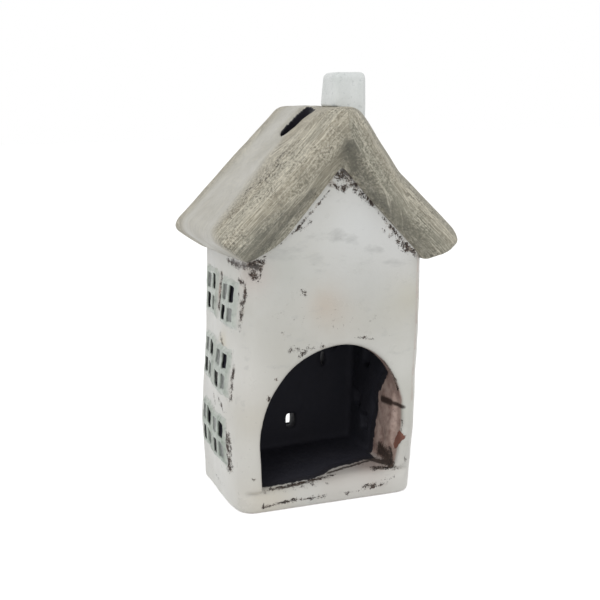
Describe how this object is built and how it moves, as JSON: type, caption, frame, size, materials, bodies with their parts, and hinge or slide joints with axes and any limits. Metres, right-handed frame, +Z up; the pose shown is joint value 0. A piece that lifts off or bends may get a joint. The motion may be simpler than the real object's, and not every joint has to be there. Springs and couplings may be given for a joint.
{
  "type": "tealight house",
  "caption": "Crooked ceramic house for a tealight, with an arched opening, a thick thatch-like roof with a smoke vent, a chimney and pierced window plaques.",
  "frame": {"origin": "on the table, under the middle of the base's footprint", "axes": "+Z up; -Y out of the arched front; +X to the right as seen from that front"},
  "size_m": [0.1054, 0.078, 0.1806],
  "materials": {
    "wall_glaze": "satin off-white glaze, distressed",
    "roof_glaze": "brushed grey-green and cream glaze, speckled",
    "chimney_glaze": "satin cool white glaze",
    "window_glaze": "satin grey-green glaze"
  },
  "bodies": {
    "root": {"back_door": "window_glaze", "back_gable_wall": "wall_glaze", "back_window_lower_left": "window_glaze", "back_window_lower_right": "window_glaze", "back_window_upper_left": "window_glaze", "back_window_upper_right": "window_glaze", "base_slab": "wall_glaze", "chimney": "chimney_glaze", "front_gable_wall": "wall_glaze", "left_wall": "wall_glaze", "left_window_bottom_back": "window_glaze", "left_window_bottom_front": "window_glaze", "left_window_middle_back": "window_glaze", "left_window_middle_front": "window_glaze", "left_window_top_back": "window_glaze", "left_window_top_front": "window_glaze", "right_wall": "wall_glaze", "right_window_bottom_back": "window_glaze", "right_window_bottom_front": "window_glaze", "right_window_middle_back": "window_glaze", "right_window_middle_front": "window_glaze", "right_window_top_back": "window_glaze", "right_window_top_front": "window_glaze", "roof_left_slope": "roof_glaze", "roof_right_slope": "roof_glaze"}
  },
  "joints": []
}
